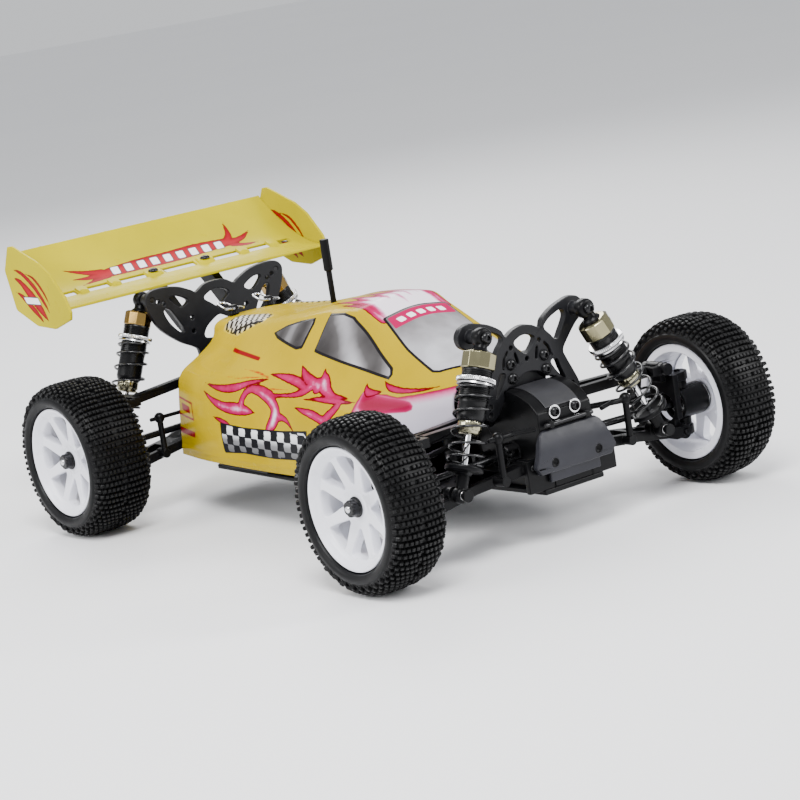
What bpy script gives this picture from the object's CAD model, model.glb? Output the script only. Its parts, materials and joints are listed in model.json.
import json
import math

import bpy
import numpy as np
from mathutils import Matrix, Vector


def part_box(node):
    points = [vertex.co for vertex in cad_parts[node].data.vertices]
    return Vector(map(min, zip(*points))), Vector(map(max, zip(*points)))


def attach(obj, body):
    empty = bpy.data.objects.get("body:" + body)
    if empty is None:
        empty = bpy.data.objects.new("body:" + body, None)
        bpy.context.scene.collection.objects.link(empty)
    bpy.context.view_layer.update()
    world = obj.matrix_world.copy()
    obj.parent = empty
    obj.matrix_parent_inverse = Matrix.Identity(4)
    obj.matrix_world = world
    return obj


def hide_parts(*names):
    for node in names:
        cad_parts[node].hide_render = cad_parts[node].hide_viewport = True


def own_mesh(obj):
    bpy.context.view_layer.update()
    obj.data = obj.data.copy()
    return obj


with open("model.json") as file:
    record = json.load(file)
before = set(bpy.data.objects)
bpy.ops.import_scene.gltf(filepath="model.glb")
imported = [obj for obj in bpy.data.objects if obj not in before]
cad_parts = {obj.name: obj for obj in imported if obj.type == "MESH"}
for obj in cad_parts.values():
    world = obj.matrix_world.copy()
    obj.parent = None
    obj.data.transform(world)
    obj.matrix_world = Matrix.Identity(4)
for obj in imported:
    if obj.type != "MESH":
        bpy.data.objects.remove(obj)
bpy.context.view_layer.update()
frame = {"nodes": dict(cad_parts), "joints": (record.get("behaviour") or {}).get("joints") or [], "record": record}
NODES = frame["nodes"]
JOINT_OF = {j["child"]: j for j in frame["joints"]}
BODY_OF = {n: b for b, group in frame["record"]["behaviour"]["bodies"].items() for n in group}
CORNERS = ("fl", "fr", "rl", "rr")
SIDES = (("right", -1), ("left", 1))
MM = 0.001


def pivot(body):
    """Place of the joint that carries a body, in millimetres."""
    return np.array(JOINT_OF[body]["pos_m"]) / MM


def linked(name, data):
    obj = bpy.data.objects.new(name, data)
    bpy.context.scene.collection.objects.link(obj)
    return obj


# ---------- camera, floor and light ----------

# the camera fitted to the photograph: its place, the directions of its picture, and its lens
CAMERA_AT = (1.1564, -0.7907, 0.3233)
PICTURE_RIGHT = Vector((0.59585, 0.78845, -0.15266))
PICTURE_UP = Vector((-0.06277, 0.23523, 0.96991))
LENS = 118.95


def camera():
    data = bpy.data.cameras.new("camera")
    obj = linked("camera", data)
    turn = Matrix((PICTURE_RIGHT, PICTURE_UP, PICTURE_RIGHT.cross(PICTURE_UP))).transposed().to_4x4()
    obj.matrix_world = Matrix.Translation(CAMERA_AT) @ turn
    data.lens = LENS
    data.sensor_width = 36
    data.clip_start = 0.01
    bpy.context.scene.camera = obj


def area_light(name, place, size, power):
    """White panel that faces the car."""
    data = bpy.data.lights.new(name, "AREA")
    data.shape = "RECTANGLE"
    data.size, data.size_y = size
    data.energy = power
    obj = linked(name, data)
    obj.location = place
    obj.rotation_euler = (Vector((0.02, 0, 0.06)) - Vector(place)).to_track_quat("-Z", "Y").to_euler()


def studio():
    world = bpy.data.worlds.new("studio")
    bpy.context.scene.world = world
    world.use_nodes = True
    sky = world.node_tree.nodes["Background"].inputs
    sky[0].default_value = (0.95, 0.97, 1, 1)
    sky[1].default_value = 0.8
    area_light("key", (0.7, -0.5, 1.3), (0.6, 0.6), 30)
    area_light("right_strip", (1.0, 0.9, 0.7), (0.3, 0.8), 14)
    area_light("left_fill", (-0.3, -1.3, 0.8), (1.0, 0.5), 14)
    area_light("rim_light", (-1.1, 0.5, 1.0), (0.9, 0.5), 14)
    mesh = bpy.data.meshes.new("floor")
    r = 6
    mesh.from_pydata([(-r, -r, 0), (r, -r, 0), (r, r, 0), (-r, r, 0)], [], [(0, 1, 2, 3)])
    floor = linked("floor", mesh)
    nodes = Nodes("floor")
    nodes.surface(nodes.mix(nodes.noise(3, 2), (0.86, 0.86, 0.87), (0.89, 0.89, 0.9)), 0.6)
    mesh.materials.append(nodes.material)


# ---------- materials ----------

class Nodes:
    """Builds one node material."""

    def __init__(self, name):
        self.material = bpy.data.materials.new(name)
        self.material.use_nodes = True
        self.tree = self.material.node_tree
        self.shader = self.tree.nodes["Principled BSDF"]
        self.place = self.tree.nodes.new("ShaderNodeTexCoord").outputs["Object"]

    def new(self, kind, *links, **values):
        node = self.tree.nodes.new(kind)
        for key, value in values.items():
            setattr(node, key, value)
        for socket, value in links:
            self.put(node.inputs[socket], value)
        return node

    def put(self, socket, value):
        if isinstance(value, bpy.types.NodeSocket):
            self.tree.links.new(value, socket)
        elif isinstance(value, (tuple, list)) and len(value) == 3 and socket.type == "RGBA":
            socket.default_value = (*value, 1)
        else:
            socket.default_value = value

    def stretch(self, scale):
        return self.new("ShaderNodeMapping", ("Vector", self.place), ("Scale", scale)).outputs[0]

    def noise(self, scale, detail=3, rough=0.5, at=None):
        return self.new("ShaderNodeTexNoise", ("Vector", at or self.place), ("Scale", scale),
                        ("Detail", detail), ("Roughness", rough)).outputs[0]

    def math(self, operation, a, b=0.0):
        return self.new("ShaderNodeMath", (0, a), (1, b), operation=operation).outputs[0]

    def span(self, value, low, high, to_low=0.0, to_high=1.0):
        return self.new("ShaderNodeMapRange", ("Value", value), ("From Min", low), ("From Max", high),
                        ("To Min", to_low), ("To Max", to_high)).outputs[0]

    def waver(self, scale, detail, low, high):
        """Noise that wanders from low to high."""
        return self.span(self.noise(scale, detail), 0.3, 0.7, low, high)

    def mix(self, factor, a, b):
        node = self.new("ShaderNodeMix", data_type="RGBA")
        self.put(node.inputs[0], factor)
        self.put(node.inputs[6], a)
        self.put(node.inputs[7], b)
        return node.outputs[2]

    def over(self, colour, field, top, soft=0.1):
        """Lays the colour top over another one where a distance field is below 0."""
        return self.mix(self.span(field, soft, -soft), colour, top)

    def ramp(self, value, low, high, *stops):
        """Colour along stops given as (value, colour), for a value from low to high."""
        node = self.new("ShaderNodeValToRGB", (0, self.span(value, low, high)))
        points = node.color_ramp.elements
        while len(points) < len(stops):
            points.new(0.5)
        for point, (at, colour) in zip(points, stops):
            point.position = (at - low) / (high - low)
            point.color = (*colour, 1)
        return node.outputs[0]

    def attribute(self, name):
        return self.new("ShaderNodeAttribute", attribute_name=name).outputs["Fac"]

    def bump(self, height, strength, depth=0.0002):
        return self.new("ShaderNodeBump", ("Height", height), ("Strength", strength),
                        ("Distance", depth)).outputs[0]

    def surface(self, colour, rough, metal=0.0, normal=None, **sockets):
        self.put(self.shader.inputs["Base Color"], colour)
        self.put(self.shader.inputs["Roughness"], rough)
        self.shader.inputs["Metallic"].default_value = metal
        if normal is not None:
            self.put(self.shader.inputs["Normal"], normal)
        for key, value in sockets.items():
            self.shader.inputs[key.replace("_", " ")].default_value = value


def shade(c, k):
    return tuple(min(1, v * k) for v in c)


def grained(name, colour, rough, metal=0.0, vary=0.25, grain=2600, relief=0.12, patch=45, **sockets):
    """Moulded plastic or plain metal: mottled colour, uneven gloss, fine grain."""
    n = Nodes(name)
    mottle = n.noise(patch, 4, 0.6)
    base = n.ramp(mottle, 0.3, 0.7, (0.3, shade(colour, 1 - vary)), (0.5, colour), (0.7, shade(colour, 1 + vary)))
    gloss = n.waver(patch * 4, 3, rough * 0.85, min(1, rough * 1.15))
    n.surface(base, gloss, metal, n.bump(n.noise(grain, 2, 0.6), relief, 0.0001), **sockets)
    return n.material


def brushed(name, colour, rough=0.3):
    """Metal with fine turning lines across X."""
    n = Nodes(name)
    lines = n.noise(1, 3, 0.7, n.stretch((3200, 60, 60)))
    base = n.ramp(lines, 0.25, 0.75, (0.25, shade(colour, 0.72)), (0.75, shade(colour, 1.12)))
    n.surface(base, n.span(lines, 0.2, 0.8, rough * 0.7, rough * 1.3), 1.0, n.bump(lines, 0.15, 0.0001))
    return n.material


def rubber():
    n = Nodes("tyre_rubber")
    dust = n.noise(55, 5, 0.65)
    base = n.ramp(dust, 0.3, 0.75, (0.3, (0.0032, 0.0032, 0.0036)), (0.55, (0.005, 0.005, 0.0054)),
                  (0.75, (0.009, 0.0088, 0.0088)))
    gloss = n.waver(180, 3, 0.36, 0.5)
    n.surface(base, gloss, 0.0, n.bump(n.noise(1900, 3, 0.7), 0.25, 0.0002), Specular_IOR_Level=0.16)
    return n.material


YELLOW = (0.44, 0.305, 0.0)     # the body's paint
LEMON = (0.46, 0.385, 0.0)      # the wing's plastic
INK = (0.012, 0.011, 0.01)


def body_paint():
    n = Nodes("body_paint")
    mist = n.noise(26, 3, 0.5)
    colour = n.ramp(mist, 0.3, 0.7, (0.3, shade(YELLOW, 0.9)), (0.55, YELLOW), (0.7, shade(YELLOW, 1.1)))
    wobble = n.waver(420, 2, -0.12, 0.12)
    nose = n.math("ADD", n.attribute("nose"), wobble)
    lilac = n.ramp(nose, -14, 2, (-14, (0.5, 0.47, 0.55)), (-5, (0.55, 0.5, 0.58)), (-2.4, (0.6, 0.17, 0.32)),
                   (-0.8, (0.38, 0.008, 0.08)), (0, (0.2, 0.001, 0.008)))
    colour = n.over(colour, nose, lilac, 0.12)
    block = n.attribute("block")
    pink = n.ramp(n.math("ADD", block, n.span(mist, 0.3, 0.7, -0.8, 0.8)), -4, 0, (-4, (0.24, 0.0, 0.03)),
                  (-2, (0.28, 0.002, 0.045)), (-0.9, (0.36, 0.01, 0.08)), (0, (0.5, 0.08, 0.2)))
    colour = n.over(colour, block, pink, 0.3)
    flame = n.math("ADD", n.attribute("tongue"), wobble)
    core = n.math("ADD", flame, n.waver(130, 3, -0.8, 0.8))
    heat = n.ramp(core, -4.4, 0, (-4.4, (0.8, 0.72, 0.8)), (-3.2, (0.6, 0.2, 0.36)), (-2.2, (0.42, 0.02, 0.11)),
                  (-0.8, (0.34, 0.004, 0.06)), (0, (0.26, 0.002, 0.03)))
    heat = n.mix(n.span(flame, -0.75, -0.5), heat, (0.14, 0.0, 0.002))
    colour = n.over(colour, flame, heat)
    fine = n.math("ADD", n.attribute("streak"), wobble)
    colour = n.over(colour, fine, (0.4, 0.05, 0.0), 0.2)
    band = n.attribute("band")
    metal = n.ramp(n.attribute("band_height"), 0, 1, (0, (0.1, 0.1, 0.105)), (0.45, (0.2, 0.2, 0.21)),
                   (0.6, (0.55, 0.56, 0.58)), (0.85, (0.9, 0.9, 0.92)), (1, (0.5, 0.5, 0.52)))
    colour = n.mix(n.span(band, 1.1, 0.9), colour, (0.012, 0.012, 0.014))
    colour = n.over(colour, band, metal)
    colour = n.over(colour, n.attribute("mark"), (0.22, 0.0, 0.002))
    vent = n.attribute("vent")
    mesh_grey = n.ramp(vent, -6, 0.5, (-6, (0.62, 0.6, 0.56)), (-2, (0.5, 0.46, 0.36)), (0.5, (0.9, 0.7, 0.1)))
    colour = n.mix(n.span(vent, 0.6, -1.4), colour, mesh_grey)
    check = n.math("MAXIMUM", n.attribute("check"), vent)
    colour = n.over(colour, check, INK, 0.12)
    glass = n.attribute("glass")
    tint = n.ramp(n.math("ADD", n.attribute("glass_tone"), n.waver(38, 3, -0.16, 0.16)), 0, 1,
                  (0, (0.03, 0.027, 0.027)), (0.35, (0.085, 0.08, 0.08)), (0.6, (0.25, 0.24, 0.25)),
                  (1, (0.5, 0.5, 0.53)))
    tint = n.over(tint, n.attribute("banner"), (0.38, 0.005, 0.075))
    tint = n.over(tint, n.attribute("dash"), (0.97, 0.93, 0.96))
    edge = n.mix(n.span(glass, -1.1, -1.3), (0.012, 0.011, 0.012), tint)
    colour = n.over(colour, glass, edge)
    gloss = n.waver(90, 3, 0.2, 0.3)
    n.surface(colour, gloss, 0.0, n.bump(n.noise(70, 2, 0.4), 0.06, 0.0006), Specular_IOR_Level=0.02,
              Coat_Weight=0.07, Coat_Roughness=0.05)
    return n.material


def wing_plastic():
    n = Nodes("wing_plastic")
    cloud = n.noise(24, 3)
    colour = n.ramp(cloud, 0.3, 0.7, (0.3, shade(LEMON, 0.92)), (0.55, LEMON), (0.7, shade(LEMON, 1.08)))
    wobble = n.waver(500, 2, -0.15, 0.15)
    flame = n.math("ADD", n.attribute("tongue"), wobble)
    red = n.ramp(flame, -6, 0, (-6, (0.4, 0.012, 0.02)), (-2, (0.34, 0.006, 0.014)), (-0.5, (0.24, 0.001, 0.004)),
                 (0, (0.14, 0.0, 0.002)))
    colour = n.over(colour, flame, red, 0.12)
    dash = n.attribute("dash")
    colour = n.mix(n.span(dash, 0.7, 0.5), colour, (0.06, 0.05, 0.06))
    colour = n.over(colour, dash, (0.94, 0.93, 0.95))
    gloss = n.waver(120, 3, 0.26, 0.36)
    n.surface(colour, gloss, 0.0, n.bump(n.noise(900, 2), 0.05, 0.0002), Specular_IOR_Level=0.03,
              Coat_Weight=0.04, Coat_Roughness=0.1)
    return n.material


RUBBER = rubber()
BLACK = grained("black_nylon", (0.0035, 0.0035, 0.004), 0.32, vary=0.35, relief=0.2, Specular_IOR_Level=0.12)
TOWER = grained("tower_composite", (0.0075, 0.0076, 0.009), 0.4, vary=0.3, relief=0.25, grain=1800,
                Specular_IOR_Level=0.2)
GREY = grained("bumper_nylon", (0.017, 0.0172, 0.022), 0.4, vary=0.2, relief=0.35, grain=1500,
               Specular_IOR_Level=0.22)
DOME = grained("cover_nylon", (0.024, 0.024, 0.027), 0.36, relief=0.35, grain=1500, Specular_IOR_Level=0.4)
WHITE = grained("rim_nylon", (0.83, 0.835, 0.9), 0.3, vary=0.035, relief=0.05, patch=30, Coat_Weight=0.3,
                Coat_Roughness=0.12)
STEEL = grained("bright_steel", (0.72, 0.72, 0.73), 0.22, 1.0, vary=0.12, relief=0.08)
BLUED = grained("black_steel", (0.012, 0.012, 0.013), 0.25, 0.5, vary=0.3, relief=0.12, Specular_IOR_Level=0.4)
CHROME = grained("chrome", (0.86, 0.86, 0.88), 0.07, 1.0, vary=0.04, relief=0.02)
SPRING = grained("spring_wire", (0.008, 0.008, 0.009), 0.22, vary=0.3, relief=0.1, Specular_IOR_Level=0.5)
CYLINDER = grained("black_anodised", (0.004, 0.004, 0.0045), 0.27, vary=0.3, relief=0.1, Specular_IOR_Level=0.22)
CHAMPAGNE = grained("champagne_anodised", (0.29, 0.265, 0.155), 0.16, 1.0, vary=0.1, relief=0.1)
GOLD = grained("gold_anodised", (0.33, 0.21, 0.065), 0.18, 1.0, vary=0.12, relief=0.1)
OLIVE = grained("olive_anodised", (0.33, 0.31, 0.21), 0.2, 1.0, vary=0.15, relief=0.1)
BRASS = brushed("brass", (0.72, 0.56, 0.26))
CAN = brushed("motor_can", (0.62, 0.62, 0.64))
SLEEVE = grained("battery_sleeve", (0.05, 0.16, 0.42), 0.32, vary=0.2, relief=0.1, Coat_Weight=0.5)
BODY = body_paint()
WING = wing_plastic()
# by material slot, for the CAD nodes that keep their own shape
FINISH = {"battery": SLEEVE, "black_plastic": BLACK, "brass": BRASS, "carbon_black": TOWER, "dark_steel": BLUED,
          "grey_plastic": GREY, "motor": CAN, "white_plastic": WHITE}


# ---------- mesh helpers ----------

def piece(name, verts, faces, finish, body, slot, replaced=(), sharp=32, bevel=0.0, place=None):
    """A new mesh object, from points in millimetres, riding on a body."""
    mesh = bpy.data.meshes.new(name)
    mesh.from_pydata([tuple(float(c) * MM for c in v) for v in verts], [], [tuple(int(k) for k in f) for f in faces])
    mesh.validate()
    mesh.materials.append(finish)
    mesh.polygons.foreach_set("use_smooth", [True] * len(mesh.polygons))
    mesh.set_sharp_from_angle(angle=math.radians(sharp))
    obj = linked(name, mesh)
    if place is not None:
        obj.matrix_world = place
    if bevel:
        rounded(obj, bevel)
    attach(obj, body)
    if replaced:
        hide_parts(*replaced)
    return obj


def rounded(obj, width, angle=30, flats=False):
    """Small rounded edges and smooth shading, by modifiers. Triangles of a flat face merge first if flats."""
    weld = obj.modifiers.new("weld", "WELD")
    weld.merge_threshold = 1e-6
    if flats:
        merge = obj.modifiers.new("flats", "DECIMATE")
        merge.decimate_type = "DISSOLVE"
        merge.angle_limit = math.radians(0.6)
    bevel = obj.modifiers.new("edges", "BEVEL")
    bevel.limit_method = "ANGLE"
    bevel.angle_limit = math.radians(angle)
    bevel.width = width * MM
    bevel.segments = 2
    bevel.use_clamp_overlap = False
    bevel.miter_outer = "MITER_ARC"
    bevel.harden_normals = False
    normals = obj.modifiers.new("normals", "WEIGHTED_NORMAL")
    normals.keep_sharp = False


def thicken(obj, thickness, offset=0):
    """Gives a sheet its thickness, in millimetres."""
    solid = obj.modifiers.new("thickness", "SOLIDIFY")
    solid.thickness = thickness * MM
    solid.offset = offset


def along(origin, axis, side=(1, 0, 0)):
    """Matrix that puts local Z along axis at origin, in millimetres."""
    z = Vector(axis).normalized()
    x = Vector(side)
    x = (x - z * x.dot(z)).normalized()
    y = z.cross(x)
    m = Matrix((x, y, z)).transposed().to_4x4()
    m.translation = Vector(origin)
    return m


def lathe(profile, n, at=None, wave=None):
    """Turns (radius, height) points about local Z: a closed ring, or a solid that starts and ends at radius 0."""
    verts, faces, rows = [], [], []
    for k, (r, h) in enumerate(profile):
        if r == 0:
            rows.append([len(verts)])
            verts.append((0, 0, h))
        else:
            rows.append(list(range(len(verts), len(verts) + n)))
            for q in range(n):
                a = 2 * math.pi * q / n
                rr = r + (wave(k, q) if wave else 0)
                verts.append((rr * math.cos(a), rr * math.sin(a), h))
    pairs = list(zip(rows, rows[1:])) + ([(rows[-1], rows[0])] if profile[0][0] else [])
    for a, b in pairs:
        for q in range(n):
            p = (q + 1) % n
            if len(a) == 1:
                faces.append((a[0], b[p], b[q]))
            elif len(b) == 1:
                faces.append((a[q], a[p], b[0]))
            else:
                faces.append((a[q], a[p], b[p], b[q]))
    if at is not None:
        verts = [tuple(at @ Vector(v)) for v in verts]
    return verts, faces


def rounded_profile(points, r=0.3):
    """Cuts each corner of a closed profile with two points, for a small round."""
    out = []
    n = len(points)
    for k in range(n):
        a, b, c = (np.array(points[(k + j) % n], float) for j in (-1, 0, 1))
        if b[0] == 0:
            out.append(tuple(b))
            continue
        for d in (a - b, c - b):
            length = np.linalg.norm(d)
            out.append(tuple(b + d / length * min(r, 0.4 * length)) if length else tuple(b))
    return out


def spin(points, soft, n, at=None, wave=None):
    """Lathe of a profile with softened corners."""
    return lathe(rounded_profile(points, soft), n, at, wave)


def grid_faces(rows, cols):
    return [(a * cols + b, a * cols + b + 1, (a + 1) * cols + b + 1, (a + 1) * cols + b)
            for a in range(rows - 1) for b in range(cols - 1)]


def join(*parts):
    """Several (verts, faces) as one."""
    verts, faces = [], []
    for v, f in parts:
        n = len(verts)
        verts += list(v)
        faces += [tuple(k + n for k in face) for face in f]
    return verts, faces


def sweep(path, radius, sides=10):
    """Round rod along points, with flat ends."""
    path = [Vector(p) for p in path]
    verts, faces = [], []
    normal = None
    for k, p in enumerate(path):
        t = (path[min(k + 1, len(path) - 1)] - path[max(k - 1, 0)]).normalized()
        if normal is None:
            normal = t.orthogonal().normalized()
        normal = (normal - t * normal.dot(t)).normalized()
        other = t.cross(normal)
        for q in range(sides):
            a = 2 * math.pi * q / sides
            verts.append(tuple(p + normal * (radius * math.cos(a)) + other * (radius * math.sin(a))))
    for k in range(0, (len(path) - 1) * sides, sides):
        for q in range(sides):
            p = (q + 1) % sides
            faces.append((k + q, k + p, k + sides + p, k + sides + q))
    faces.append(tuple(range(sides - 1, -1, -1)))
    faces.append(tuple(len(verts) - sides + q for q in range(sides)))
    return verts, faces


def catmull(points, steps, closed=False):
    """Smooth curve through points."""
    p = np.array(points, float)
    n = len(p)
    out = []
    for k in range(n if closed else n - 1):
        a, b, c, d = (p[(k + j) % n if closed else min(max(k + j, 0), n - 1)] for j in (-1, 0, 1, 2))
        for j in range(steps):
            u = j / steps
            out.append((2 * b + (c - a) * u + (2 * a - 5 * b + 4 * c - d) * u * u
                        + (3 * b - a - 3 * c + d) * u ** 3) / 2)
    if not closed:
        out.append(p[-1])
    return np.array(out)


# ---------- distances for the painted graphics, in millimetres ----------

def to_strokes(x, y, strokes):
    """Signed distance to tapered strokes, each a list of (x, y, half width)."""
    best = np.full(x.shape, 50.0)
    for stroke in strokes:
        s = catmull(stroke, 5)
        for a, b in zip(s, s[1:]):
            d = b[:2] - a[:2]
            length = max(d @ d, 1e-9)
            t = np.clip(((x - a[0]) * d[0] + (y - a[1]) * d[1]) / length, 0, 1)
            gap = np.hypot(x - a[0] - t * d[0], y - a[1] - t * d[1]) - np.maximum(0, a[2] + t * (b[2] - a[2]))
            best = np.minimum(best, gap)
    return best


def to_polygon(x, y, corners):
    """Signed distance to a polygon, less than 0 inside."""
    p = np.array(corners, float)
    best = np.full(x.shape, 1e9)
    inside = np.zeros(x.shape, bool)
    for a, b in zip(p, np.roll(p, -1, 0)):
        d = b - a
        t = np.clip(((x - a[0]) * d[0] + (y - a[1]) * d[1]) / (d @ d), 0, 1)
        best = np.minimum(best, np.hypot(x - a[0] - t * d[0], y - a[1] - t * d[1]))
        crosses = (a[1] > y) != (b[1] > y)
        with np.errstate(divide="ignore", invalid="ignore"):
            inside ^= crosses & (x < d[0] * (y - a[1]) / (d[1] if d[1] else 1e-12) + a[0])
    return np.where(inside, -best, best)


def paint(obj, **fields):
    for name, values in fields.items():
        attribute = obj.data.attributes.new(name, "FLOAT", "POINT")
        attribute.data.foreach_set("value", np.asarray(values, np.float32))


# ---------- wheels ----------

ROWS, PITCH = 76, 2.4           # rows of pins around a tyre, and their spacing across it
HUB_OUT, TYRE_OUT = 115, 124    # outer faces of the rim's hub and of the tyre, from the centre plane
AXLE_OUT = 121
HEX_IN = 6.7                    # from the hub's outer face to the inner face of its hex


def tread_profile(hw):
    """Half section of the tread's carcass from the middle to the side: radius and distance outwards."""
    return catmull([(41.0, 0), (40.9, hw * 0.3), (40.6, hw - 8), (39.6, hw - 4.6), (38.0, hw - 2.6),
                    (36.3, hw - 1.5)], 8)


def carcass(hw, half):
    """Tread, sidewalls, beads and the hollow inside."""
    bead = hw - 2.5
    right = [tuple(p) for p in half] + [
        (36.0, hw - 1.1), (35.6, hw - 0.7), (34.6, hw - 0.4), (33.4, hw - 0.5), (32.4, hw - 0.9), (31.9, bead + 1.2),
        (31.5, bead + 1.1), (31.2, bead + 0.5), (31.0, bead - 0.2), (31.0, bead - 2.2), (29.6, bead - 2.2),
        (29.6, bead - 5)]
    left = [(r, -h) for r, h in reversed(right)]
    inner = [(31.6, bead - 5.2), (34.5, hw - 3.8), (37.6, hw - 5.2), (38.4, hw - 9), (38.4, 9 - hw), (37.6, 5.2 - hw),
             (34.5, 3.8 - hw), (31.6, 5.2 - bead)]
    verts, faces = lathe(left[:-1] + right + inner, 144)
    return verts, [tuple(reversed(f)) for f in faces]


def tread_pin(turn, r, h, lean, edge):
    """Pin that narrows outwards and leans with the tread, lower near the edge and a little uneven."""
    c, s = math.cos(turn), math.sin(turn)
    out = np.array([c * math.cos(lean), s * math.cos(lean), math.sin(lean)])
    across = np.array([-c * math.sin(lean), -s * math.sin(lean), math.cos(lean)])
    around = np.array([-s, c, 0])
    base = np.array([r * c, r * s, h])
    tall = (2.15 if edge > 3 else 1.6) + 0.15 * math.sin(93.7 * turn + 41.3 * h)
    wide = 1.02 if edge > 3 else 1.2
    levels = ((-0.3, wide, 1.15), (tall - 0.4, wide - 0.15, 0.9), (tall, wide - 0.42, 0.6))
    verts = [tuple(base + out * up + across * (u * su) + around * (v * sv)) for up, u, v in levels
             for su, sv in ((-1, -1), (1, -1), (1, 1), (-1, 1))]
    faces = [(low + q, low + (q + 1) % 4, low + 4 + (q + 1) % 4, low + 4 + q) for low in (0, 4) for q in range(4)]
    return verts, faces + [(8, 9, 10, 11), (3, 2, 1, 0)]


def tread_bar(line, turn):
    """Low bar that joins the pins of a row and runs down both shoulders."""
    c, s = math.cos(turn), math.sin(turn)
    verts = []
    for r, h in line[::2]:
        for up, w in ((-0.4, 0.75), (0.55, 0.55)):
            verts += [((r + up) * c - side * w * s, (r + up) * s + side * w * c, h) for side in (-1, 1)]
    last = len(verts) - 4
    faces = [(b + p, b + 4 + p, b + 4 + q, b + q) for b in range(0, last, 4)
             for p, q in ((0, 1), (1, 3), (3, 2), (2, 0))]
    return verts, faces + [(0, 2, 3, 1), (last, last + 1, last + 3, last + 2)]


def tyre_mesh(hw):
    half = tread_profile(hw)
    line = np.vstack([half[:0:-1] * [1, -1], half])
    dist = np.concatenate([[0], np.cumsum(np.hypot(*np.diff(line, axis=0).T))])
    total = dist[-1]
    count = int((total - 1.5) / PITCH)

    def at(s):
        return np.array([np.interp(s, dist, line[:, k]) for k in (0, 1)])
    pins = []
    for row in range(ROWS):
        turn, odd = 2 * math.pi * row / ROWS, row % 2
        for k in range(count + 1 - odd):
            s = total / 2 + (k - count / 2 + 0.5 * odd) * PITCH
            if 0.8 < s < total - 0.8 and abs(s - total / 2) >= 0.45:
                dr, dh = at(min(s + 0.4, total)) - at(max(s - 0.4, 0))
                pins.append(tread_pin(turn, *at(s), math.atan2(-dr, dh), min(s, total - s)))
    bars = [tread_bar(line, 2 * math.pi * row / ROWS) for row in range(ROWS)]
    return join(carcass(hw, half), *pins, *bars)


def rim_mesh(hw, hub, spokes=8):
    """White rim: barrel with lips, dished face with tapered openings, hub. Axis Z outwards."""
    lip = hw - 2.5
    hub_r, dish_r, middle, depth = 7.6, 26.3, 17.6, 5.2
    barrel = spin([(26.2, -lip), (30.3, -lip), (30.3, 1.9 - lip), (28.2, 2.6 - lip), (27.4, 5 - lip),
                   (27.4, lip - 5), (28.2, lip - 2.6), (30.3, lip - 1.9), (30.3, lip + 0.1), (28.8, lip + 0.1),
                   (27.0, lip - 2.4), (25.2, lip - 3.4), (25.2, lip - 6), (25.8, lip - 9)], 0.35, 120)

    def face_height(r):
        t = max(0.0, (r - 8) / (26.4 - 8))
        return hub + (lip - 3.2 - hub) * (t ** 1.6) + 0.5 * math.sin(math.pi * min(1, t)) - 0.2

    # half of an opening that is symmetric about its radius
    side = [(11.6, 1.1), (13.2, 1.75), (17.5, 4.1), (21.8, 6.2), (23.6, 6.4), (24.5, 5.0), (24.9, 2.5)]
    window = [(x, -y) for x, y in side] + [(25.0, 0)] + side[::-1] + [(11.1, 0)]
    hole = catmull(window, 3, closed=True)
    half_sector = math.pi / spokes
    border = []
    for x, y in hole:
        a = math.atan2(y, x - middle)
        for t in np.linspace(0.5, 20, 157):
            px, py = middle + t * math.cos(a), t * math.sin(a)
            r, q = math.hypot(px, py), math.atan2(py, px)
            if r > dish_r or r < hub_r or abs(q) > half_sector:
                break
        r = min(max(r, hub_r), dish_r)
        q = min(max(q, -half_sector), half_sector)
        border.append((r * math.cos(q), r * math.sin(q)))
    border = np.array(border)

    def ring(share, drop):
        """Points between the edge of an opening and the border of its sector."""
        return [(x, y, face_height(math.hypot(x, y)) + drop) for x, y in hole + (border - hole) * share]
    top = [ring(*q) for q in ((0.0, -0.9), (0.06, -0.35), (0.16, -0.06), (0.4, 0), (0.7, 0), (1.0, 0))]
    rings = top + [ring(share, -depth) for share in (1.0, 0.5, 0.0)] + [ring(0.0, -depth * 0.5)]
    m, seam = len(hole), len(top) - 1
    verts, faces = [], []
    for k in range(spokes):
        c, s = math.cos(2 * half_sector * k), math.sin(2 * half_sector * k)
        start = len(verts)

        def quad(a, q):
            """Face between ring a and the next one, after point q."""
            b, p = (a + 1) % len(rings), (q + 1) % m
            return tuple(start + j for j in (a * m + q, a * m + p, b * m + p, b * m + q))
        verts += [(x * c - y * s, x * s + y * c, z) for points in rings for x, y, z in points]
        faces += [quad(a, q) for a in range(len(rings)) if a != seam for q in range(m)]
        # between two spokes the sectors just meet; at the barrel and the hub they have an end
        for q in range(m):
            ends = [np.hypot(*border[j % m]) for j in (q, q + 1)]
            if min(ends) > 26 or max(ends) < 8:
                faces.append(quad(seam, q))
    top = face_height(8)
    boss = spin([(2.6, hub - 2.6), (2.6, hub + 0.15), (6.4, hub + 0.15), (9.4, top - 0.3), (9.4, top - 2.4),
                 (9.0, hub - HEX_IN), (7.4, hub - HEX_IN), (7.4, hub - 2.6)], 0.3, 64)
    return join(barrel, (verts, faces), boss)


def wheel_nut(hub):
    """Flanged nut: six flats, and a fine serration on its flange."""
    n = 96

    def wave(k, q):
        if 8 <= k <= 15:
            return 0.25 - 0.42 * abs(math.cos(3 * 2 * math.pi * q / n)) ** 6
        return 0.1 * (q % 2) if k >= 18 else 0
    return spin([(2.55, hub + 0.1), (2.55, hub + 3.4), (1.75, hub + 3.9), (1.75, hub + 4.9), (3.3, hub + 5.1),
                 (3.75, hub + 4.8), (3.95, hub + 3.9), (3.95, hub + 1.6), (4.3, hub + 1.3), (5.0, hub + 1.1),
                 (5.1, hub + 0.3), (4.8, hub + 0.1)], 0.15, n, wave=wave)


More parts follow.
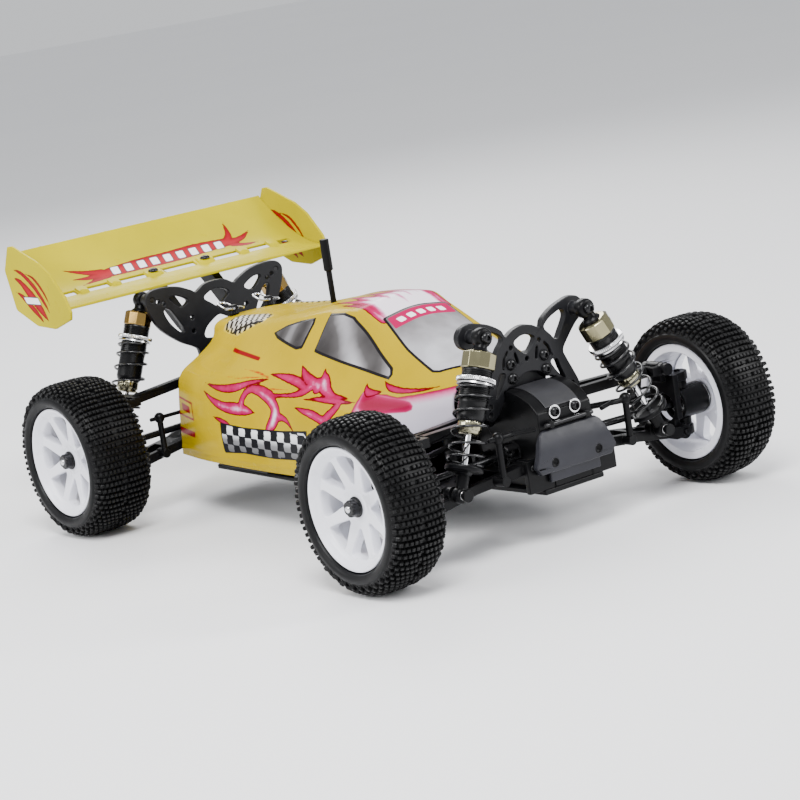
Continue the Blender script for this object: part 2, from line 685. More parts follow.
def wheels():
    meshes = {}
    for c in CORNERS:
        low, high = (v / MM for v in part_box("tyre_" + c))
        hw = (high[1] - low[1]) / 2
        place = along((0, 0, 0), (0, 1 if c[1] == "l" else -1, 0))
        place.translation = (Vector(low) + Vector(high)) / 2 * MM
        centre = hw - TYRE_OUT      # the car's centre plane, from the middle of the tyre
        hub, tip = centre + HUB_OUT, centre + AXLE_OUT
        if c[0] not in meshes:
            meshes[c[0]] = (tyre_mesh(hw), rim_mesh(hw, hub))
        tyre, rim = meshes[c[0]]
        body = "wheel_" + c
        piece("tyre_pins_" + c, *tyre, RUBBER, body, "tyre", ["tyre_" + c], sharp=25, place=place)
        piece("rim_dish_" + c, *rim, WHITE, body, "rim", ["rim_" + c], sharp=40, place=place)
        piece("wheel_nut_" + c, *wheel_nut(hub), BLUED, body, "dark_steel", ["rim_" + c], sharp=30, place=place)
        cup = centre + (94 if c[0] == "f" else 90)
        stub = spin([(0, tip), (1.3, tip), (1.7, tip - 0.5), (1.7, tip - 2.3), (2.5, tip - 2.8), (2.5, cup + 6.5),
                     (5.6, cup + 5.6), (5.6, cup - 2.5), (4.4, cup - 2.5), (4.4, cup + 5), (0, cup + 5)], 0.2, 48)
        hexagon = spin([(2.4, hub - HEX_IN), (6.85, hub - HEX_IN), (6.85, hub - 0.7), (2.4, hub - 0.7)], 0.3, 6)
        piece("stub_axle_" + c, *join(stub, hexagon), STEEL, body, "steel", ["rim_" + c], sharp=30, place=place)


# ---------- shock absorbers ----------

# distances down a shock from its upper eye: cap, its end, seal cap, its end, spring cup, collar, lower eye
MARKS = {"f": (7, 16, 41.5, 47.5, 63, 20, 76.69), "r": (7, 15.5, 47, 53, 67.2, 21, 80.02)}
CAPS = {"f": (8.5, 5.0, CHAMPAGNE), "r": (7.9, 4.6, GOLD)}     # radius of cap and eye, finish
COIL_R, WIRE_R, TURNS = 8.65, 0.65, 6


def shocks():
    for c in CORNERS:
        bodies = {"body": "damper_" + c, "spring": "damper_" + c, "shaft": "plunger_" + c}
        joint = JOINT_OF[bodies["shaft"]]
        cap, cap_end, seal, seal_end, seat, collar, lower_eye = MARKS[c[0]]
        cap_r, eye, cap_finish = CAPS[c[0]]
        top, up = Vector(pivot(bodies["body"])), Vector(joint["axis"]).normalized()
        at = along(top, -up, (1, 0, 0))

        def part(name, mesh, finish, slot, node="body", **how):
            return piece(f"{name}_{c}", *mesh, finish, bodies[node], slot, [f"shock_{node}_{c}"], **how)
        # upper eye, a ball end on the mounting screw
        ring = spin([(1.7, -3), (eye - 0.9, -3), (eye, -1.8), (eye, 1.8), (eye - 0.9, 3), (1.7, 3)], 0.35, 40,
                    along(top, (1, 0, 0), (0, 0, 1)))
        neck = spin([(0, 2.4), (3.1, 2.4), (3.3, cap - 1.6), (4.6, cap - 0.6), (4.9, cap + 0.5), (0, cap + 0.5)],
                    0.3, 40, at)
        part("shock_eye", join(ring, neck), BLACK, "black_plastic", sharp=35)
        # ten-sided cap, with a bleed screw in the middle of one of its flats
        part("shock_cap", spin([(0, cap), (cap_r - 1.6, cap), (cap_r - 0.7, cap + 0.5), (cap_r, cap + 1.1),
                                (cap_r, cap_end - 0.8), (cap_r - 0.5, cap_end - 0.2), (0, cap_end - 0.2)], 0.2, 10, at),
             cap_finish, "brass", sharp=20, bevel=0.18)
        flat = Vector((math.cos(math.radians(-54)), math.sin(math.radians(-54)), 0))
        middle = at @ (flat * (cap_r * 0.951) + Vector((0, 0, (cap + cap_end) / 2)))
        part("bleed_screw", spin([(0, 0.12), (0.95, 0.12), (1.1, -0.3), (0, -0.3)], 0.08, 20,
                                 along(middle, at.to_3x3() @ flat, (0, 0, 1))), BLUED, "dark_steel")
        # threaded cylinder
        wall = [(0, cap_end - 0.4), (7.2, cap_end - 0.4), (7.4, cap_end)]
        z = cap_end + 0.6
        while z < cap_end + 15:
            wall += [(7.4, z), (7.4, z + 0.25), (7.12, z + 0.5), (7.12, z + 0.65)]
            z += 0.9
        wall += [(7.2, z + 0.4), (7.0, z + 0.8), (7.0, seal - 3), (6.6, seal - 1.1), (5.8, seal), (0, seal)]
        part("shock_cylinder", lathe(wall, 56, at), CYLINDER, "dark_steel", sharp=45)
        # knurled spring collar with a clip ring next to it
        knurl = spin([(7.3, collar), (9.3, collar), (9.6, collar + 0.3), (9.6, collar + 1.7), (9.3, collar + 2.0),
                      (7.3, collar + 2.0)], 0.12, 112, at, lambda k, q: -0.34 * (q % 2) if 3 <= k <= 8 else 0)
        ring = spin([(7.3, collar + 2.5), (9.0, collar + 2.5), (9.2, collar + 3.6), (7.3, collar + 3.6)], 0.2, 72, at)
        part("spring_collar", join(knurl, ring), STEEL, "steel", sharp=25)
        # fluted lower cap of the cylinder
        part("shock_seal_cap", spin([(0, seal - 0.4), (5.7, seal - 0.4), (5.95, seal + 0.8), (5.95, seal_end - 2.2),
                                     (5.3, seal_end - 1.7), (5.3, seal_end - 0.6), (4.6, seal_end), (0, seal_end)],
                                    0.2, 72, at, lambda k, q: -0.16 * (q // 2 % 2) if 2 <= k <= 6 else 0),
             OLIVE, "brass", sharp=30)
        # shaft, spring cup and lower ball end
        part("shock_rod", spin([(0, seal - 2), (1.5, seal - 2), (1.5, seat + 3), (0, seat + 3)], 0.1, 32, at),
             CHROME, "chrome_shaft", "shaft")
        across = along(at @ Vector((0, 0, lower_eye)), (1, 0, 0), (0, 0, 1))
        cup = spin([(1.6, seat + 0.7), (7.6, seat + 0.7), (8.0, seat + 0.1), (9.2, seat + 0.1), (9.5, seat + 0.6),
                    (9.5, seat + 1.9), (9.0, seat + 2.4), (4.6, seat + 2.9), (3.5, seat + 4.2), (1.6, seat + 4.2)],
                   0.2, 64, at)
        stem = spin([(0, seat + 2.2), (3.1, seat + 2.2), (3.3, seat + 5), (2.9, lower_eye - 2.6),
                     (0, lower_eye - 2.6)], 0.3, 36, at)
        ring = spin([(2.5, -2.8), (3.3, -2.8), (3.95, -1.9), (3.95, 1.9), (3.3, 2.8), (2.5, 2.8)], 0.25, 40, across)
        part("shock_cup", join(cup, stem, ring), BLACK, "black_plastic", "shaft", sharp=35)
        part("shock_ball", spin([(2.2, -3.1), (2.45, -3.1), (2.45, 3.1), (2.2, 3.1)], 0.08, 32, across), STEEL,
             "steel", "shaft")
        # coil spring, with closer turns at both ends
        start, stop = collar + 3.7 + WIRE_R, seat - 0.05 - WIRE_R
        path = []
        for t in np.linspace(0, 1, 34 * TURNS + 1):
            ease, a = t - 0.055 * math.sin(2 * math.pi * t), 2 * math.pi * TURNS * t
            path.append(at @ Vector((COIL_R * math.cos(a), COIL_R * math.sin(a), start + (stop - start) * ease)))
        spring = part("coil_spring", sweep(path, WIRE_R, 9), SPRING, "dark_steel", "spring", sharp=60)
        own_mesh(spring)


# ---------- body shell ----------

# cross sections of the shell: x, then its (y, z) points from the sill to the middle; a third value shifts x
SECTIONS = [
    (-103, [(50, 31, 0), (50.5, 46, 3), (50.5, 64, 6.5), (50, 78, 10), (36, 85, 11), (24, 92, 11), (22, 101.5, 11),
            (0, 103, 11)]),
    (-70, [(55, 31), (57, 46), (57, 63), (53, 79), (38, 88), (26, 97), (22, 104), (0, 106)]),
    (-39, [(57, 31), (60, 46), (60, 64), (56, 80), (42, 90), (30, 101.5), (24, 105.5), (0, 107)]),
    (0, [(58, 31), (61, 46), (60.5, 64), (57, 79), (46, 90), (30, 107.5), (24, 110.5), (0, 112)]),
    (30, [(58, 31), (61, 46), (60.5, 63), (57, 77), (46, 88), (29, 110.5), (24, 114), (0, 117)]),
    (52, [(57, 31), (60, 46), (59, 62), (55, 75), (44.5, 85), (27, 112), (22.5, 114.5), (0, 118)]),
    (66, [(55, 32), (58, 47), (57, 61), (53, 73), (43, 83.5), (25.5, 107.5), (20, 109.5), (0, 112.5)]),
    (90, [(48, 42), (50, 50), (50, 60), (47, 70), (41, 80), (32, 91), (22, 95), (0, 99)]),
    (112, [(38, 53), (40, 57), (40, 63), (39, 70), (36, 77), (31, 82.5), (20, 86), (0, 89)]),
    (129, [(29, 62), (30, 64), (30, 67), (30, 70), (29, 74), (26, 77.5), (18, 80), (0, 81.5)])]


def flow(u, values, at):
    """Monotone cubic through values at u, so that the skin never bulges past a section."""
    h = np.diff(u)
    d = np.diff(values, axis=0) / h[:, None]
    slope = np.zeros_like(values)
    slope[0], slope[-1] = d[0], d[-1]
    for k in range(1, len(u) - 1):
        w1, w2 = 2 * h[k] + h[k - 1], h[k] + 2 * h[k - 1]
        with np.errstate(divide="ignore", invalid="ignore"):
            mean = (w1 + w2) / (w1 / d[k - 1] + w2 / d[k])
        slope[k] = np.where(d[k - 1] * d[k] > 0, mean, 0)
    k = np.clip(np.searchsorted(u, at) - 1, 0, len(u) - 2)
    t = ((at - u[k]) / h[k])[:, None]
    hk = h[k][:, None]
    return ((2 * t ** 3 - 3 * t ** 2 + 1) * values[k] + (t ** 3 - 2 * t ** 2 + t) * hk * slope[k]
            + (3 * t ** 2 - 2 * t ** 3) * values[k + 1] + (t ** 3 - t ** 2) * hk * slope[k + 1])


def soften(line, rounds):
    """Rounds the corners of an open line, and keeps its ends."""
    p = np.array(line, float)
    for _ in range(rounds):
        a, b = p[:-1], p[1:]
        q = np.empty((2 * len(a), p.shape[1]))
        q[0::2] = a * 0.78 + b * 0.22
        q[1::2] = a * 0.22 + b * 0.78
        q[0], q[-1] = p[0], p[-1]
        p = q
    return p


def body_grid(nx, ny):
    u = np.array([c[0] for c in SECTIONS], float)
    rows = np.array([[(c[0] + (q[2] if len(q) > 2 else 0), q[0], q[1]) for q in c[1]] for c in SECTIONS], float)
    at = np.linspace(u[0], u[-1], nx)
    lines = flow(u, rows.reshape(len(u), -1), at).reshape(nx, -1, 3)
    out = []
    for line in lines:
        p = soften(np.vstack([line, line[-2:-3:-1] * [1, -1, 1]]), 3)
        p = p[p[:, 1] >= 0]
        p[-1, 1] = 0
        d = np.concatenate([[0], np.cumsum(np.linalg.norm(np.diff(p, axis=0), axis=1))])
        s = np.linspace(0, d[-1], ny)
        half = np.column_stack([np.interp(s, d, p[:, k]) for k in range(3)])
        out.append(np.vstack([half, half[-2::-1] * [1, -1, 1]]))
    return np.array(out)


# strokes on the side as (x, z, half width), on the roof as (x, y, half width), and windows as (x, z)
SIDE_FLAMES = [
    [(-59, 76, 0), (-40, 74.5, 1.9), (-25, 75.8, 2.3), (-13, 78.6, 1.5), (-2, 80.4, 0.9), (5, 81.5, 0.1)],
    [(-61, 72.5, 0), (-48, 67.5, 1.9), (-36, 65, 2.9), (-24, 64.8, 3.5), (-14, 64.6, 2.7), (-5, 63.8, 0)],
    [(-19, 66, 3), (-17, 71, 2.3), (-11, 75.5, 2.1), (0, 76.4, 2), (10, 74.8, 1.5)],
    [(-11, 76, 1.5), (-2, 75.3, 2.6), (6, 72.8, 3.2), (12, 69.5, 3.8), (14, 65, 4.4), (11, 60, 3.8), (6, 56, 2.4),
     (2, 51, 0.3)],
    [(14, 63, 3), (20, 63, 2), (25, 61, 1.4), (30, 55.5, 0)],
    [(8, 73.5, 1.6), (20, 74.3, 1.1), (30, 75.2, 1.5), (37, 77, 2.2), (43, 80.5, 2.8), (46, 79, 3.2)],
    [(2, 83.8, 0), (12, 83.2, 1.2), (22, 82.2, 2), (31, 80.6, 2.2), (38, 78, 1.6)],
    [(26, 88.5, 0), (30, 85.5, 1.5), (35, 83, 2.2), (41, 81, 2.4)],
    [(44.5, 88, 0), (46, 84, 1.6), (47.5, 82, 3), (50, 79.5, 3.2), (54, 77, 2.4), (60, 75, 1.5), (71, 74.3, 0)],
    [(37, 73.2, 0), (46, 73.6, 1), (55, 73.4, 1.7), (61, 73.2, 1.9), (68, 72.4, 1), (76, 72.2, 0)],
    [(30, 69.4, 0), (38, 67.6, 1.5), (46, 66, 2.4), (54, 63.5, 2.4), (58, 66, 2.5), (63, 70, 2), (65, 73, 1.4)],
    [(-50, 58.8, 0), (-42, 57.4, 1.4), (-34, 55.2, 1.6), (-29, 52, 0.3)],
    [(64, 60, 0), (62, 56, 2), (66, 51, 3), (74, 48, 2.4), (84, 47, 0.2)],
    [(77, 82, 0), (78, 78.5, 1.2), (81, 76.5, 2), (88, 77, 0.6)],
    [(88, 82, 0), (93, 79, 1.5), (101, 77.5, 1.4), (112, 77.6, 0.8), (122, 79, 0)]]
SIDE_STREAKS = [
    [(-38, 80.6, 0), (-27, 80.3, 0.25), (-16, 81, 0.35), (-6, 81.8, 0.3), (4, 83, 0)],
    [(-24, 84.6, 0), (-14, 84.2, 0.3), (-4, 83.4, 0.4), (5, 81.4, 0.1)],
    [(-2, 77.9, 0), (12, 77, 0.3), (24, 77.3, 0)]]
ROOF_FLAMES = [
    [(8, 5, 0), (22, 8, 1.2), (34, 9, 2.6), (46, 10, 5), (58, 10, 7.5), (70, 10, 9)],
    [(16, 18, 0), (28, 16.5, 1.2), (38, 15.5, 2.6), (52, 14.5, 5), (68, 13, 8)],
    [(26, 1, 0.5), (40, 2, 2.4), (54, 3, 6), (70, 4, 8)],
    [(30, 21, 0), (42, 20.5, 1.4), (54, 20.5, 2.2), (68, 20, 3)]]
SIDE_WINDOWS = [
    [(-14, 101), (-4, 105), (7, 107.5), (20.5, 109.5), (21.5, 107), (20, 95.5), (15, 94.8), (2, 97.2), (-8, 99)],
    [(32, 111.8), (44, 112.4), (53, 110.8), (60, 106.5), (77, 95.5), (90, 87.6), (91.5, 84.6), (90.5, 82.4), (62, 88),
     (31, 94.4)]]


FAR = 30        # added to a distance where its graphic isn't


def only(where, field):
    """A graphic's distance field, kept to one part of the body."""
    return field + np.where(where, 0, FAR)


def chequers(u, v, width, height):
    """Signed distance to the dark fields of a chequered pattern."""
    a, b = u / width, v / height
    edge = np.minimum(np.minimum(a % 1, 1 - a % 1) * width, np.minimum(b % 1, 1 - b % 1) * height)
    return np.where((np.floor(a) + np.floor(b)) % 2 > 0, -edge, edge)


def hump(value, middle, width, power=2):
    return np.exp(-((value - middle) / width) ** power)


def body_shell():
    nx, ny = 236, 118
    grid = body_grid(nx, ny)
    p = grid.reshape(-1, 3)
    x, y, z = p[:, 0], np.abs(p[:, 1]), p[:, 2]
    flank = y > 27
    glass = only((y > 25) & (z > 80), np.minimum(*[to_polygon(x, z, w) for w in SIDE_WINDOWS]))
    edge = [(67, 20.5), (90, 24.5), (111, 26.5), (114, 24), (118, 14), (119, 0)]
    screen = edge + [(a, -b) for a, b in edge[-2::-1]]
    glass = np.minimum(glass, only(z > 78, to_polygon(x, p[:, 1], screen)))
    vent = only(z > 92, to_polygon(x, y, [(-80, 24), (-72, 16), (-47, 13.5), (-38, 17), (-35, 26), (-44, 29),
                                          (-56, 31)]))
    # recesses of windows and vents, a moulded bulge and a bead along the sill
    normal = np.cross(np.gradient(grid, axis=1).reshape(-1, 3), np.gradient(grid, axis=0).reshape(-1, 3))
    normal /= np.linalg.norm(normal, axis=1)[:, None] + 1e-12
    if normal[len(normal) // 2][2] < 0:
        normal = -normal
    lift = -0.55 * np.clip(-glass / 1.2, 0, 1) - 0.5 * np.clip(-vent / 2, 0, 1)
    lift += 1.6 * hump(x, -58, 17) * hump(z, 86, 4.2) * (y > 25)
    lift -= 0.35 * hump(z, 35.5, 0.9) * (x < 60)
    lift += 0.9 * hump(y, 0, 7.5, 4) * np.clip((x + 30) / 20, 0, 1) * np.clip((48 - x) / 30, 0, 1)
    p = p + normal * lift[:, None]
    obj = piece("painted_body", p, grid_faces(nx, 2 * ny - 1), BODY, "chassis", "body", ["body_shell"], sharp=55)
    nose = to_polygon(x, z, [(77, 77.5), (85, 76), (92, 76), (99, 74.6), (112, 76), (122, 77.5), (134, 79.5),
                             (140, 40), (62, 34), (70, 60)])
    nose = np.maximum(nose, 24 - y)
    block = only(flank, to_polygon(x, z, [(77, 77), (103.5, 73.3), (107, 72.5), (109, 70.4), (108.6, 68.4),
                                          (105.5, 67.3), (80, 66.5), (76, 70)]))
    flame = np.minimum(only(flank, to_strokes(x, z, SIDE_FLAMES)), only(z > 104, to_strokes(x, y, ROOF_FLAMES)))
    streak = only(flank, to_strokes(x, z, SIDE_STREAKS))
    # chequered band along the flank, leaning forward
    lean = x - 0.28 * (z - 47)
    band_box = only(flank, to_polygon(lean, z, [(-44, 55.5), (-20, 54.6), (14, 55.4), (38, 57), (38, 41.5), (8, 40),
                                                (-22, 40.6), (-42, 39)]))
    band = chequers(lean + 44, z - 39, 6.2, 5.3)
    band = np.where(band > 0, 0.5, band)
    band_height = np.clip((z - 39) / 17, 0, 1)
    band = np.where(band_box > -0.7, np.clip(0.5 + band_box, 0.3, 10), band)
    # red marks: a stripe behind the window, a frame and a tag at the rear corner
    stripe = only(y > 30, to_polygon(x, z, [(-50, 92.2), (-14, 90.2), (-14, 88.6), (-50, 90.6)]))
    tag, inner, bar = (only(flank, to_polygon(x, z, corners)) for corners in (
        [(-98, 66), (-74, 64.5), (-74, 53), (-99, 54)], [(-92, 62), (-79, 61), (-79, 57), (-92, 57.8)],
        [(-100, 47.5), (-76, 47), (-78, 43.5), (-100, 44)]))
    mark = np.minimum.reduce([stripe, np.abs(tag + 1.2) - 0.6, inner, bar])
    # chequered print in the vents
    check = chequers(x + 80, y - 12, 2.6, 2.6) + 0.05
    check = np.minimum(check, to_polygon(x, y, [(-70, 29.2), (-36, 26.6), (-36, 25.4), (-68, 27.6)]))
    banner = only(z > 90, to_polygon(x, p[:, 1], [(69, -19), (69, 19), (76.5, 20), (76.5, -20)]))
    dashes = [to_polygon(x, p[:, 1] - k, [(71.4, -2.6), (74.6, -1.6), (74.6, 2.6), (71.4, 1.6)])
              for k in (-13, -6.5, 0, 6.5, 13)]
    dash = only(z > 90, np.minimum.reduce(dashes))
    tone = 0.12 + 0.62 * hump(x + 0.9 * z, 143, 9) + 0.5 * np.clip((x - 78) / 12, 0, 1)
    tone = np.where(x < 24, 0.3 + 0.2 * np.sin(x / 3), tone)
    tone = np.where(y < 25, np.clip(0.66 + (x - 90) / 110, 0, 1), tone)
    paint(obj, tongue=flame, streak=streak, nose=nose, block=block, band=band, band_height=band_height, mark=mark,
          vent=vent, check=check, banner=banner, dash=dash, glass=glass, glass_tone=tone)
    thicken(obj, 1.1, -1)


# ---------- wing ----------

WING_FRONT, WING_REAR, SAG = (-132, 122), (-196, 151), 8     # edges of the wing as (x, z), and its hollow
PLATE_Y, SHEET = 88, 1.6        # inner face of an end plate, and the thickness of the moulding
BOLT = (-155.4, 18)             # wing bolt on the left side, (x, y)


def wing_z(x):
    t = (WING_FRONT[0] - x) / (WING_FRONT[0] - WING_REAR[0])
    return WING_FRONT[1] + (WING_REAR[1] - WING_FRONT[1]) * t - SAG * 4 * t * (1 - t) * (1 - 0.25 * t)


def wing():
    slots = [(0, 11), (32, 10), (57, 9), (-32, 10), (-57, 9), (74, 4), (-74, 4)]
    slot_x = (BOLT[0] - 2.6, BOLT[0] + 2.6)
    xs = np.unique(np.concatenate([np.linspace(WING_REAR[0], slot_x[0], 46),
                                   np.linspace(slot_x[1], WING_FRONT[0], 28)]))
    cuts = sorted(c + s * w for c, w in slots for s in (-1, 1))
    ys = np.unique(np.concatenate([np.arange(-PLATE_Y, PLATE_Y + 0.1, 1.1), cuts, [PLATE_Y]]))
    verts = [(x, y, wing_z(x)) for x in xs for y in ys]
    faces = []
    for i, j, k, m in grid_faces(len(xs), len(ys)):
        mx, my = (verts[i][0] + verts[m][0]) / 2, (verts[i][1] + verts[j][1]) / 2
        if not (slot_x[0] < mx < slot_x[1] and any(abs(my - c) < w for c, w in slots)):
            faces.append((i, m, k, j))
    sheet = piece("wing_sheet", verts, faces, WING, "chassis", "wing", ["rear_wing"], sharp=40)
    p = np.array(verts)
    x, y = p[:, 0], p[:, 1]
    strokes = [
        [(-166, -47, 3.5), (-167, -20, 5), (-167, 0, 5.2), (-168, 22, 5), (-168, 44, 3.6)],
        [(-168, -44, 3), (-171, -54, 2), (-177, -66, 0)], [(-166, -46, 3), (-166, -56, 1.6), (-168, -66, 0)],
        [(-164, -44, 2.6), (-162, -54, 1.2), (-160, -64, 0)],
        [(-168, 42, 3), (-174, 48, 1.8), (-186, 52, 0)], [(-167, 44, 3), (-169, 54, 1.8), (-174, 63, 0)],
        [(-165, 44, 2.4), (-162, 52, 1.4), (-162, 62, 0)]]
    flame = to_strokes(x, y, strokes)
    dashes = np.minimum.reduce([to_polygon(x + 167, y - k, [(-3.2, -1.6), (3.2, -3.4), (3.2, 1.6), (-3.2, 3.4)])
                                for k in range(-36, 40, 9)])
    paint(sheet, tongue=flame, dash=dashes)
    thicken(sheet, SHEET)
    rounded(sheet, 0.3, 50)
    # moulded pads between the slots
    parts = []
    for y in (-66, -44.5, -18, 18, 44.5, 66):
        w = 5.2 if abs(y) == 18 else 3.2
        outline = catmull([(-3.4, -w), (3.4, -w), (4.2, 0), (3.4, w), (-3.4, w), (-4.2, 0)], 5, closed=True)
        n = len(outline)
        v = [(BOLT[0] + u * a, y + v * b, wing_z(BOLT[0] + u * a) + up) for a, b, up in ((1, 1, 0.5), (0.8, 0.85, 1.9))
             for u, v in outline]
        v.append((BOLT[0], y, wing_z(BOLT[0]) + 2.0))
        f = [(k, (k + 1) % n, n + (k + 1) % n, n + k) for k in range(n)]
        f += [(n + k, n + (k + 1) % n, 2 * n) for k in range(n)]
        parts.append((v, f + [tuple(range(n - 1, -1, -1))]))
    pads = piece("wing_pads", *join(*parts), WING, "chassis", "wing", ["rear_wing"], sharp=50)
    away = np.full(len(pads.data.vertices), 20.0)
    paint(pads, tongue=away, dash=away)
    # end plates
    corners = np.array([(-191, 156), (-186, 156.5), (-159, 147.5), (-147.5, 141), (-134.5, 128), (-130.5, 120),
                        (-132, 115.5), (-151, 109.5), (-171, 110.5), (-193, 119), (-199, 142)], float)
    steps = np.linspace(0.04, 0.96, 12)[:, None]
    outline = np.vstack([a + (b - a) * steps for a, b in zip(corners, np.roll(corners, -1, 0))])
    centre = np.array([-165, 131])
    n, rings = len(outline), 34     # enough rings to carry the painted marks
    faces = [(0, 1 + q, 1 + (q + 1) % n) for q in range(n)]
    for k in range(1, 1 + (rings - 1) * n, n):
        for q in range(n):
            a, b = k + q, k + (q + 1) % n
            faces.append((a, a + n, b + n, b))
    for side, s in SIDES:
        y = s * (PLATE_Y + SHEET / 2)
        verts = [(centre[0], y, centre[1])]
        verts += [(q[0], y, q[1]) for k in range(1, rings + 1) for q in centre + (outline - centre) * k / rings]
        plate = piece("wing_end_plate_" + side, verts, faces, WING, "chassis", "wing", ["rear_wing"], sharp=40)
        p = np.array(verts)
        swirl = [[(-190, 143, 0), (-180, 141, 1.2), (-168, 134, 1.6), (-158, 124, 1.2), (-154, 118, 0)],
                 [(-191, 138, 0), (-183, 136, 1.6), (-172, 128, 3.2), (-163, 120, 2.6), (-157, 114, 0.2)],
                 [(-190, 130, 0), (-182, 127, 1.6), (-173, 121, 2), (-166, 116, 1.2), (-162, 112, 0)],
                 [(-176, 141, 0), (-166, 138, 0.9), (-157, 130, 0.9), (-152, 122, 0)]]
        dash = [(-182, 127), (-166, 127), (-166, 123.4), (-182, 123.4)]
        paint(plate, tongue=to_strokes(p[:, 0], p[:, 2], swirl),
              dash=to_polygon(p[:, 0] + 0.7 * (p[:, 2] - 128), p[:, 2], dash))
        thicken(plate, SHEET)
        rounded(plate, 0.4, 50)


# ---------- screws, pins, clips and posts ----------

def button_screw(at, head, tall, shank, length, socket=1.25, n=36):
    """Button-head screw with a hexagon socket: local Z points out of its head, 0 is the seat."""
    profile = [(0, tall - 1.15), (socket, tall - 1.15), (socket, tall - 0.04), (socket + 0.25, tall),
               (head * 0.68, tall * 0.9), (head * 0.88, tall * 0.64), (head * 0.98, tall * 0.3), (head, 0.06),
               (head - 0.08, 0), (shank, 0), (shank, -length), (0, -length)]

    def six(k, q):
        if k not in (1, 2):
            return 0
        a = (2 * math.pi * q / n) % (math.pi / 3) - math.pi / 6
        return socket * (math.cos(math.pi / 6) / math.cos(a) - 0.93)
    return lathe(profile, n, at, six)


def pin(a, b, r, chamfer=0.25):
    d = Vector(b) - Vector(a)
    profile = [(0, 0), (r - chamfer, 0), (r, chamfer), (r, d.length - chamfer), (r - chamfer, d.length), (0, d.length)]
    return lathe(profile, 24, along(a, d, (0, 0, 1)))


def block(low, high):
    verts = [(x, y, z) for x in (low[0], high[0]) for y in (low[1], high[1]) for z in (low[2], high[2])]
    return verts, [(0, 1, 3, 2), (4, 6, 7, 5), (0, 4, 5, 1), (2, 3, 7, 6), (0, 2, 6, 4), (1, 5, 7, 3)]


POST_X, POST_Y = -86, 12


def clip(s):
    """Bent wire clip through a body post."""
    path = [(8, 2.0, 0), (4, 2.2, 0), (-4, 2.3, 0), (-8, 2.9, 0.6), (-11.4, 2.4, 1.6), (-12.6, 0, 2.2),
            (-11.4, -2.4, 1.8), (-8, -3, 0.8), (-4, -3.6, 0), (0, -4.2, 0), (4, -3.3, 0), (6.4, -3.6, 0.3),
            (8.4, -4.6, 0.8)]
    return sweep(catmull([(POST_X + x, POST_Y * s + y, 107.4 + z) for x, y, z in path], 6), 0.6, 10)


def hardware():
    fa, ra = pivot("wheel_fl")[0], pivot("wheel_rl")[0]
    stood = ["steel_hardware"]
    forward, back, upward, down = (1, 0, 0), (-1, 0, 0), (0, 0, 1), (0, 0, -1)
    black, bright, dark, plastic = [], [], [], []

    def screw(place, out, side, *sizes):
        black.append(button_screw(along(place, out, side), *sizes))

    def hinge_pin(x0, x1, y, z):
        dark.append(pin((x0, y, z), (x1, y, z), 1.48))

    def clamp(x0, x1, y0, y1, z0, z1):
        plastic.append(block((x0, min(y0, y1), z0), (x1, max(y0, y1), z1)))
    for y in (-10.7, 10.7):
        for z in (80, 87):
            screw((fa - 1.5, y, z), forward, upward, 2.9, 1.8, 1.4, 8)
    for y in (-6.5, 6.5):
        screw((fa + 21.9, y, 64), forward, upward, 2.6, 1.7, 1.2, 4.6)
        bright.append(spin([(1.4, 0), (3.5, 0), (3.5, 0.6), (1.4, 0.6)], 0.12, 40,
                           along((fa + 21.3, y, 64), forward, upward)))
    for x in (fa, ra):
        for q in (-17, 17):
            for y in (-10, 10):
                screw((x + q, y, 26.3), down, forward, 2.9, 1.3, 1.2, 8)
    for side, s in SIDES:
        (_, yf, zf), (_, yr, zr) = pivot("damper_fl"), pivot("damper_rl")
        screw((fa + 11.2, yf * s, zf), forward, upward, 2.9, 1.8, 1.45, 16.5)
        screw((ra - 21.4, yr * s, zr), back, upward, 2.9, 1.8, 1.45, 15)
        screw((BOLT[0], BOLT[1] * s, wing_z(BOLT[0]) + 2), upward, forward, 3, 1.7, 1.2, 14)
        _, y, z = pivot("arm_fl")
        for x in (fa, ra):
            hinge_pin(x + 10.6, x + 21.5, y * s, z)
            hinge_pin(x - 21.5, x - 10.6, y * s, z)
        (_, yf, zf), (_, yr, zr) = pivot("upper_fl"), pivot("upper_rl")
        hinge_pin(fa - 24.4, fa - 6.4, yf * s, zf)
        hinge_pin(ra - 0.2, ra + 16, yr * s, zr)
        clamp(fa + 21.3, fa + 24.9, 10 * s, 13 * s, 57.3, 60.7)
        clamp(ra + 26.4, ra + 29.7, 10 * s, 13 * s, 53.3, 56.7)
        clamp(ra + 6, -83, POST_Y * s - 3, POST_Y * s + 3, 75.7, 78.2)
        bright.append(clip(s))
        post = spin([(0, 76), (2.6, 76), (2.6, 103.4), (3.0, 103.6), (3.0, 104.6), (2.6, 104.8), (2.6, 108.2),
                     (1.9, 109), (0, 109)], 0.2, 32, Matrix.Translation((POST_X, POST_Y * s, 0)))
        piece("body_post_" + side, *post, BLACK, "chassis", "black_plastic", stood)
    dark.append(pin((fa + 23.8, -15.2, 59), (fa + 23.8, 15.2, 59), 1.1))
    dark.append(pin((ra + 28.6, -17.8, 55), (ra + 28.6, 17.8, 55), 1.1))
    piece("button_screws", *join(*black), BLUED, "chassis", "dark_steel", stood, sharp=28)
    piece("clips_and_washers", *join(*bright), STEEL, "chassis", "steel", stood, sharp=35)
    piece("hinge_pins", *join(*dark), BLUED, "chassis", "dark_steel", stood, sharp=28)
    piece("bar_clamps", *join(*plastic), BLACK, "chassis", "black_plastic", stood, bevel=0.5)


# ---------- CAD nodes that stay ----------

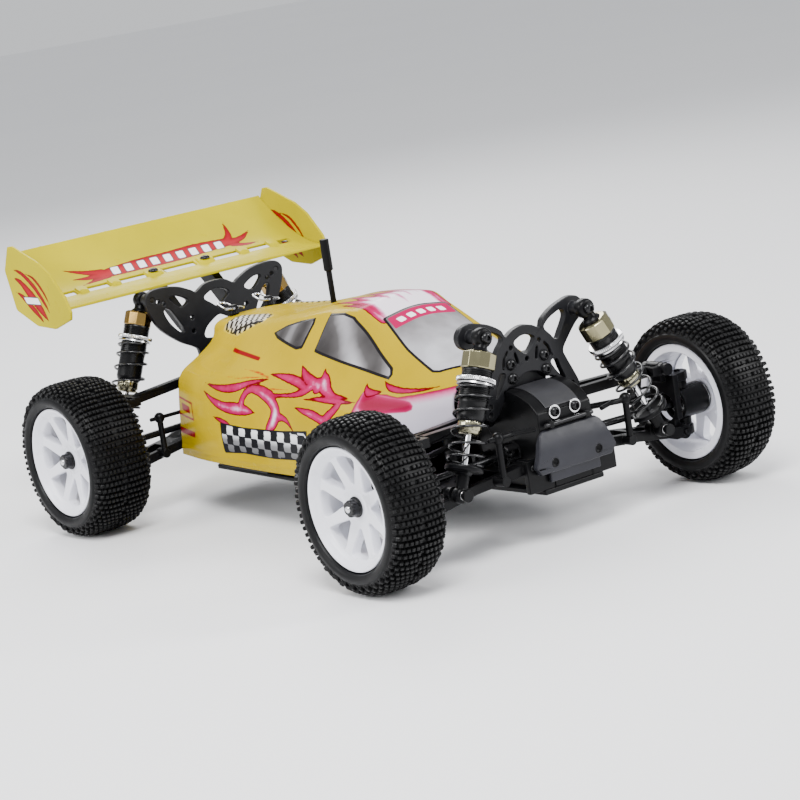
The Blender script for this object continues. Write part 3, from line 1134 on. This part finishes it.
# width of the rounded edges, in millimetres, where it isn't the usual one
WIDTHS = {"chassis": 0.6, "gearbox_housings": 0.6, "front_bumper": 0.7, "front_shock_tower": 0.55,
          "rear_shock_tower": 0.55, "battery_pack": 1.2, "motor": 0.6, "steering_servo": 0.6,
          "radio_and_antenna": 0.4}
USUAL_WIDTH = 0.35


def dress_frame():
    """Each CAD node that no piece stands for yet gets one: its own shape with rounded edges."""
    for name, obj in list(NODES.items()):
        if obj.hide_render:
            continue
        mesh = obj.data.copy()
        slot = obj.data.materials[0].name.split(".")[0]
        mesh.materials[0] = BLACK if name == "gearbox_housings" else FINISH[slot]
        mesh.polygons.foreach_set("use_smooth", [True] * len(mesh.polygons))
        if "custom_normal" in mesh.attributes:
            mesh.attributes.remove(mesh.attributes["custom_normal"])
        cast = linked(name + "_cast", mesh)
        cast.matrix_world = obj.matrix_world.copy()
        rounded(cast, WIDTHS.get(name, USUAL_WIDTH), flats=True)
        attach(cast, BODY_OF[name])
        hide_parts(name)


def front_covers():
    """Grey cover strip over the front gearbox, and the recesses of the bumper screws."""
    fa = pivot("wheel_fl")[0]
    radius, height, rows, cols = 27.45, 48, 40, 15
    verts = [(fa + radius * math.cos(a), y, height + radius * math.sin(a))
             for a in np.radians(np.linspace(42.5, 97, rows)) for y in np.linspace(-10.4, 10.4, cols)]
    strip = piece("gearbox_cover", verts, grid_faces(rows, cols), DOME, "chassis", "grey_plastic",
                  ["gearbox_housings"], sharp=60)
    thicken(strip, 0.5, -1)
    rounded(strip, 0.2, 50)
    cup = [(0, -1.6), (1.5, -1.5), (1.65, -0.2), (1.8, 0.1), (2.2, 0.12), (2.3, -0.05), (1.7, -0.4), (0, -2)]
    cups = [lathe(cup, 32, along((fa + 26.42, y, 40.8), (1, 0, -0.08), (0, 0, 1))) for y in (-14, 14)]
    piece("bumper_screws", *join(*cups), BLACK, "chassis", "dark_steel", ["front_bumper"], sharp=35)


camera()
studio()
wheels()
shocks()
body_shell()
wing()
hardware()
dress_frame()
front_covers()
